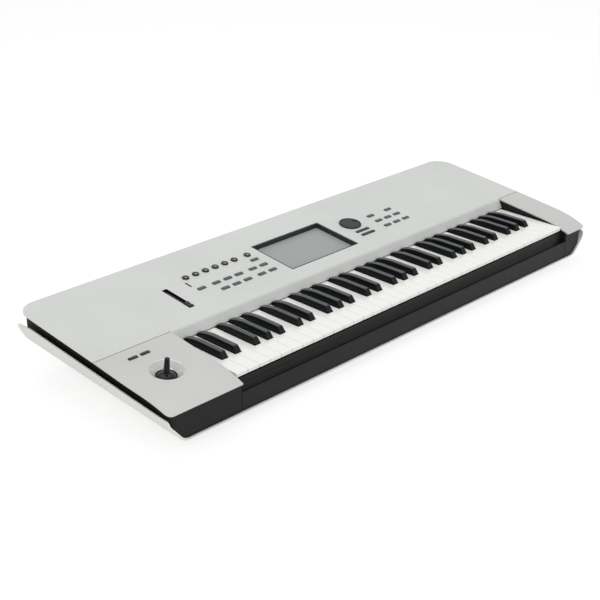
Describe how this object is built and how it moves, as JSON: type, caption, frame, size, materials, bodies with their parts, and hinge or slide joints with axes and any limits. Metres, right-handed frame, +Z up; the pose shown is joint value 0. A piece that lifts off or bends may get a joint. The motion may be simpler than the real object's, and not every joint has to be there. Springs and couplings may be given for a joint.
{
  "type": "music workstation keyboard",
  "caption": "Keyboard music workstation with a sloped panel, sunk touch screen, joystick, knobs, buttons and full-size sprung keys.",
  "frame": {"origin": "centre of the footprint of the whole instrument, on the surface that its feet stand on", "axes": "+X towards the treble keys, +Y away from the player, +Z up"},
  "size_m": [1.062, 0.37, 0.116],
  "materials": {
    "black_plastic": "fine texture",
    "circuit_board": "satin",
    "dark_control": "satin",
    "light_grey_cheek": "fine texture",
    "light_grey_panel": "fine texture",
    "natural_key": "satin",
    "pale_case": "fine texture",
    "rubber": "matte",
    "screen_glass": "gloss",
    "sharp_key": "satin",
    "steel": "plain sheet",
    "supply_case": "plain sheet"
  },
  "bodies": {
    "case": {"bottom_case": "pale_case", "control_board": "circuit_board", "display_bezel": "dark_control", "display_module": "screen_glass", "foot_front_left": "rubber", "foot_front_right": "rubber", "foot_rear_left": "rubber", "foot_rear_right": "rubber", "joystick_housing": "black_plastic", "key_slip": "black_plastic", "keybed_chassis": "steel", "left_cheek_panel": "light_grey_cheek", "left_end_frame": "black_plastic", "main_board": "circuit_board", "power_supply": "supply_case", "rear_panel": "black_plastic", "right_cheek_panel": "light_grey_cheek", "right_end_frame": "black_plastic", "top_panel": "light_grey_panel"},
    "keys_cegb_1": {"keys_cegb_1": "natural_key"},
    "keys_dfa_1": {"keys_dfa_1": "natural_key"},
    "keys_sharps_1": {"keys_sharps_1": "sharp_key"},
    "keys_cegb_2": {"keys_cegb_2": "natural_key"},
    "keys_dfa_2": {"keys_dfa_2": "natural_key"},
    "keys_sharps_2": {"keys_sharps_2": "sharp_key"},
    "keys_cegb_3": {"keys_cegb_3": "natural_key"},
    "keys_dfa_3": {"keys_dfa_3": "natural_key"},
    "keys_sharps_3": {"keys_sharps_3": "sharp_key"},
    "keys_cegb_4": {"keys_cegb_4": "natural_key"},
    "keys_dfa_4": {"keys_dfa_4": "natural_key"},
    "keys_sharps_4": {"keys_sharps_4": "sharp_key"},
    "keys_cegb_5": {"keys_cegb_5": "natural_key"},
    "keys_dfa_5": {"keys_dfa_5": "natural_key"},
    "keys_sharps_5": {"keys_sharps_5": "sharp_key"},
    "key_top_c": {"key_top_c": "natural_key"},
    "joystick_gimbal": {"joystick_gimbal": "steel"},
    "joystick_stick": {"joystick_stick": "sharp_key"},
    "knob_1": {"knob_1": "dark_control"},
    "knob_2": {"knob_2": "dark_control"},
    "knob_3": {"knob_3": "dark_control"},
    "knob_4": {"knob_4": "dark_control"},
    "knob_5": {"knob_5": "dark_control"},
    "knob_6": {"knob_6": "dark_control"},
    "knob_7": {"knob_7": "dark_control"},
    "value_dial": {"value_dial": "dark_control"},
    "slider_cap": {"slider_cap": "dark_control"},
    "button_left_single": {"button_left_single": "dark_control"},
    "buttons_left_rear_row": {"buttons_left_rear_row": "dark_control"},
    "buttons_left_front_row": {"buttons_left_front_row": "dark_control"},
    "buttons_left_cluster": {"buttons_left_cluster": "dark_control"},
    "button_left_top": {"button_left_top": "dark_control"},
    "button_right_top_a": {"button_right_top_a": "dark_control"},
    "button_right_top_b": {"button_right_top_b": "dark_control"},
    "buttons_right_rear_row": {"buttons_right_rear_row": "dark_control"},
    "buttons_right_front_row": {"buttons_right_front_row": "dark_control"},
    "button_increase": {"button_increase": "dark_control"},
    "button_decrease": {"button_decrease": "dark_control"},
    "switch_1": {"switch_1": "dark_control"},
    "switch_2": {"switch_2": "dark_control"},
    "power_switch": {"power_switch": "sharp_key"}
  },
  "joints": [
    {"name": "keys_cegb_1_press", "type": "hinge", "parent": "case", "child": "keys_cegb_1", "pos_m": [-0.29675, 0.0325, 0.0676], "axis": [1, 0, 0], "range_deg": [0, 2.8], "stiffness_Nm_per_rad": 2, "springref_deg": -17.19},
    {"name": "keys_dfa_1_press", "type": "hinge", "parent": "case", "child": "keys_dfa_1", "pos_m": [-0.29675, 0.0325, 0.0676], "axis": [1, 0, 0], "range_deg": [0, 2.8], "stiffness_Nm_per_rad": 1.5, "springref_deg": -17.19},
    {"name": "keys_sharps_1_press", "type": "hinge", "parent": "case", "child": "keys_sharps_1", "pos_m": [-0.29675, 0.0325, 0.0676], "axis": [1, 0, 0], "range_deg": [0, 2.8], "stiffness_Nm_per_rad": 2, "springref_deg": -17.19},
    {"name": "keys_cegb_2_press", "type": "hinge", "parent": "case", "child": "keys_cegb_2", "pos_m": [-0.13225, 0.0325, 0.0676], "axis": [1, 0, 0], "range_deg": [0, 2.8], "stiffness_Nm_per_rad": 2, "springref_deg": -17.19},
    {"name": "keys_dfa_2_press", "type": "hinge", "parent": "case", "child": "keys_dfa_2", "pos_m": [-0.13225, 0.0325, 0.0676], "axis": [1, 0, 0], "range_deg": [0, 2.8], "stiffness_Nm_per_rad": 1.5, "springref_deg": -17.19},
    {"name": "keys_sharps_2_press", "type": "hinge", "parent": "case", "child": "keys_sharps_2", "pos_m": [-0.13225, 0.0325, 0.0676], "axis": [1, 0, 0], "range_deg": [0, 2.8], "stiffness_Nm_per_rad": 2, "springref_deg": -17.19},
    {"name": "keys_cegb_3_press", "type": "hinge", "parent": "case", "child": "keys_cegb_3", "pos_m": [0.03225, 0.0325, 0.0676], "axis": [1, 0, 0], "range_deg": [0, 2.8], "stiffness_Nm_per_rad": 2, "springref_deg": -17.19},
    {"name": "keys_dfa_3_press", "type": "hinge", "parent": "case", "child": "keys_dfa_3", "pos_m": [0.03225, 0.0325, 0.0676], "axis": [1, 0, 0], "range_deg": [0, 2.8], "stiffness_Nm_per_rad": 1.5, "springref_deg": -17.19},
    {"name": "keys_sharps_3_press", "type": "hinge", "parent": "case", "child": "keys_sharps_3", "pos_m": [0.03225, 0.0325, 0.0676], "axis": [1, 0, 0], "range_deg": [0, 2.8], "stiffness_Nm_per_rad": 2, "springref_deg": -17.19},
    {"name": "keys_cegb_4_press", "type": "hinge", "parent": "case", "child": "keys_cegb_4", "pos_m": [0.19675, 0.0325, 0.0676], "axis": [1, 0, 0], "range_deg": [0, 2.8], "stiffness_Nm_per_rad": 2, "springref_deg": -17.19},
    {"name": "keys_dfa_4_press", "type": "hinge", "parent": "case", "child": "keys_dfa_4", "pos_m": [0.19675, 0.0325, 0.0676], "axis": [1, 0, 0], "range_deg": [0, 2.8], "stiffness_Nm_per_rad": 1.5, "springref_deg": -17.19},
    {"name": "keys_sharps_4_press", "type": "hinge", "parent": "case", "child": "keys_sharps_4", "pos_m": [0.19675, 0.0325, 0.0676], "axis": [1, 0, 0], "range_deg": [0, 2.8], "stiffness_Nm_per_rad": 2, "springref_deg": -17.19},
    {"name": "keys_cegb_5_press", "type": "hinge", "parent": "case", "child": "keys_cegb_5", "pos_m": [0.36125, 0.0325, 0.0676], "axis": [1, 0, 0], "range_deg": [0, 2.8], "stiffness_Nm_per_rad": 2, "springref_deg": -17.19},
    {"name": "keys_dfa_5_press", "type": "hinge", "parent": "case", "child": "keys_dfa_5", "pos_m": [0.36125, 0.0325, 0.0676], "axis": [1, 0, 0], "range_deg": [0, 2.8], "stiffness_Nm_per_rad": 1.5, "springref_deg": -17.19},
    {"name": "keys_sharps_5_press", "type": "hinge", "parent": "case", "child": "keys_sharps_5", "pos_m": [0.36125, 0.0325, 0.0676], "axis": [1, 0, 0], "range_deg": [0, 2.8], "stiffness_Nm_per_rad": 2, "springref_deg": -17.19},
    {"name": "key_top_c_press", "type": "hinge", "parent": "case", "child": "key_top_c", "pos_m": [0.45525, 0.0325, 0.0676], "axis": [1, 0, 0], "range_deg": [0, 2.8], "stiffness_Nm_per_rad": 0.5, "springref_deg": -17.19},
    {"name": "joystick_sideways", "type": "hinge", "parent": "case", "child": "joystick_gimbal", "pos_m": [-0.4552, -0.09377, 0.05428], "axis": [0, 0.9929, 0.1191], "range_deg": [-20, 20], "stiffness_Nm_per_rad": 0.06},
    {"name": "joystick_fore_aft", "type": "hinge", "parent": "joystick_gimbal", "child": "joystick_stick", "pos_m": [-0.4552, -0.09377, 0.05428], "axis": [1, 0, 0], "range_deg": [-20, 20], "stiffness_Nm_per_rad": 0.06},
    {"name": "knob_1_turn", "type": "hinge", "parent": "case", "child": "knob_1", "pos_m": [-0.248, 0.0998, 0.1068], "axis": [0, -0.1074, 0.9942], "range_deg": [-150, 150]},
    {"name": "knob_2_turn", "type": "hinge", "parent": "case", "child": "knob_2", "pos_m": [-0.2259, 0.0998, 0.1068], "axis": [0, -0.1074, 0.9942], "range_deg": [-150, 150]},
    {"name": "knob_3_turn", "type": "hinge", "parent": "case", "child": "knob_3", "pos_m": [-0.2038, 0.0998, 0.1068], "axis": [0, -0.1074, 0.9942], "range_deg": [-150, 150]},
    {"name": "knob_4_turn", "type": "hinge", "parent": "case", "child": "knob_4", "pos_m": [-0.1817, 0.0998, 0.1068], "axis": [0, -0.1074, 0.9942], "range_deg": [-150, 150]},
    {"name": "knob_5_turn", "type": "hinge", "parent": "case", "child": "knob_5", "pos_m": [-0.1596, 0.0998, 0.1068], "axis": [0, -0.1074, 0.9942], "range_deg": [-150, 150]},
    {"name": "knob_6_turn", "type": "hinge", "parent": "case", "child": "knob_6", "pos_m": [-0.1375, 0.0998, 0.1068], "axis": [0, -0.1074, 0.9942], "range_deg": [-150, 150]},
    {"name": "knob_7_turn", "type": "hinge", "parent": "case", "child": "knob_7", "pos_m": [-0.1067, 0.0998, 0.1068], "axis": [0, -0.1074, 0.9942], "range_deg": [-150, 150]},
    {"name": "value_dial_turn", "type": "hinge", "parent": "case", "child": "value_dial", "pos_m": [0.1365, 0.0785, 0.1045], "axis": [0, -0.1074, 0.9942], "continuous": true},
    {"name": "slider_slide", "type": "slide", "parent": "case", "child": "slider_cap", "axis": [0, 0.9942, 0.1074], "range_m": [0, 0.0535]},
    {"name": "button_left_single_press", "type": "slide", "parent": "case", "child": "button_left_single", "axis": [0, 0.1074, -0.9942], "range_m": [0, 0.0009], "stiffness_N_per_m": 400, "springref_m": -0.0015},
    {"name": "buttons_left_rear_row_press", "type": "slide", "parent": "case", "child": "buttons_left_rear_row", "axis": [0, 0.1074, -0.9942], "range_m": [0, 0.0009], "stiffness_N_per_m": 400, "springref_m": -0.0015},
    {"name": "buttons_left_front_row_press", "type": "slide", "parent": "case", "child": "buttons_left_front_row", "axis": [0, 0.1074, -0.9942], "range_m": [0, 0.0009], "stiffness_N_per_m": 400, "springref_m": -0.0015},
    {"name": "buttons_left_cluster_press", "type": "slide", "parent": "case", "child": "buttons_left_cluster", "axis": [0, 0.1074, -0.9942], "range_m": [0, 0.0009], "stiffness_N_per_m": 400, "springref_m": -0.0015},
    {"name": "button_left_top_press", "type": "slide", "parent": "case", "child": "button_left_top", "axis": [0, 0.1074, -0.9942], "range_m": [0, 0.0009], "stiffness_N_per_m": 400, "springref_m": -0.0015},
    {"name": "button_right_top_a_press", "type": "slide", "parent": "case", "child": "button_right_top_a", "axis": [0, 0.1074, -0.9942], "range_m": [0, 0.0009], "stiffness_N_per_m": 400, "springref_m": -0.0015},
    {"name": "button_right_top_b_press", "type": "slide", "parent": "case", "child": "button_right_top_b", "axis": [0, 0.1074, -0.9942], "range_m": [0, 0.0009], "stiffness_N_per_m": 400, "springref_m": -0.0015},
    {"name": "buttons_right_rear_row_press", "type": "slide", "parent": "case", "child": "buttons_right_rear_row", "axis": [0, 0.1074, -0.9942], "range_m": [0, 0.0009], "stiffness_N_per_m": 400, "springref_m": -0.0015},
    {"name": "buttons_right_front_row_press", "type": "slide", "parent": "case", "child": "buttons_right_front_row", "axis": [0, 0.1074, -0.9942], "range_m": [0, 0.0009], "stiffness_N_per_m": 400, "springref_m": -0.0015},
    {"name": "button_increase_press", "type": "slide", "parent": "case", "child": "button_increase", "axis": [0, 0.1074, -0.9942], "range_m": [0, 0.0009], "stiffness_N_per_m": 400, "springref_m": -0.0015},
    {"name": "button_decrease_press", "type": "slide", "parent": "case", "child": "button_decrease", "axis": [0, 0.1074, -0.9942], "range_m": [0, 0.0009], "stiffness_N_per_m": 400, "springref_m": -0.0015},
    {"name": "switch_1_press", "type": "slide", "parent": "case", "child": "switch_1", "axis": [0, 0.1191, -0.9929], "range_m": [0, 0.0009], "stiffness_N_per_m": 400, "springref_m": -0.0015},
    {"name": "switch_2_press", "type": "slide", "parent": "case", "child": "switch_2", "axis": [0, 0.1191, -0.9929], "range_m": [0, 0.0009], "stiffness_N_per_m": 400, "springref_m": -0.0015},
    {"name": "power_switch_rock", "type": "hinge", "parent": "case", "child": "power_switch", "pos_m": [0.341, 0.1562, 0.06], "axis": [1, 0, 0], "range_deg": [-8, 8]}
  ]
}
